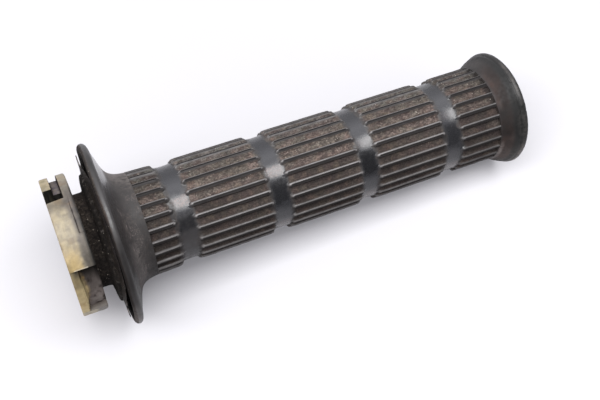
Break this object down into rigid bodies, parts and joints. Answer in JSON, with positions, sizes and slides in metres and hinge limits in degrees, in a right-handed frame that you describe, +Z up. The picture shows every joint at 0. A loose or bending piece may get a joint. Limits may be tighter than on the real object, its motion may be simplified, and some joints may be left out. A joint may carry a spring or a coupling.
{
  "type": "throttle grip",
  "caption": "Motorcycle throttle grip: ribbed rubber grip with smooth ring bands, a broad inboard flange and a flared outboard end, on a nylon throttle tube with a cable drum.",
  "frame": {"origin": "centre of the handlebar bore on the inboard end face of the cable drum", "axes": "+X along the handlebar bore from the cable drum to the closed outboard end, +Z up with one rib on the top line, +Y away from the side of the drum that carries the stop recess"},
  "size_m": [0.1514, 0.0566, 0.0566],
  "materials": {
    "nylon": "aged cream moulded nylon with wear and grime",
    "rubber": "worn satin black rubber, dusty brown dirt between the ribs"
  },
  "bodies": {
    "root": {"throttle_tube": "nylon", "rubber_grip": "rubber"}
  },
  "joints": []
}
